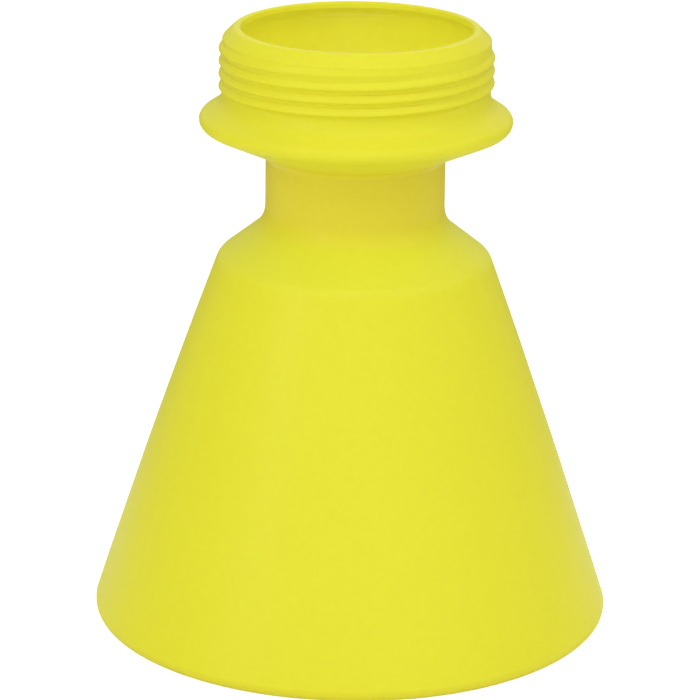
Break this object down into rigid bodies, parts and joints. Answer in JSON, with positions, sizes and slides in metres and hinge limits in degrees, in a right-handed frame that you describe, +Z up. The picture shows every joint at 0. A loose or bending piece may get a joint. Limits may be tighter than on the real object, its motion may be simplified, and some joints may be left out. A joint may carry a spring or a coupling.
{
  "type": "reservoir bottle",
  "caption": "Conical wide-mouth plastic bottle with a flanged grip neck and an external screw thread around its open mouth.",
  "frame": {"origin": "centre of the standing face", "axes": "+Z up along the bottle's axis, out of the mouth; +X and -X are the sides on which the mould parts"},
  "size_m": [0.166, 0.166, 0.193],
  "materials": {
    "yellow_plastic": "satin gloss, blow-moulded polyethylene"
  },
  "bodies": {
    "root": {"base_panel": "yellow_plastic", "base_heel": "yellow_plastic", "cone_wall": "yellow_plastic", "shoulder": "yellow_plastic", "grip_neck": "yellow_plastic", "support_flange": "yellow_plastic", "threaded_neck": "yellow_plastic", "screw_thread": "yellow_plastic", "sealing_rim": "yellow_plastic"}
  },
  "joints": []
}
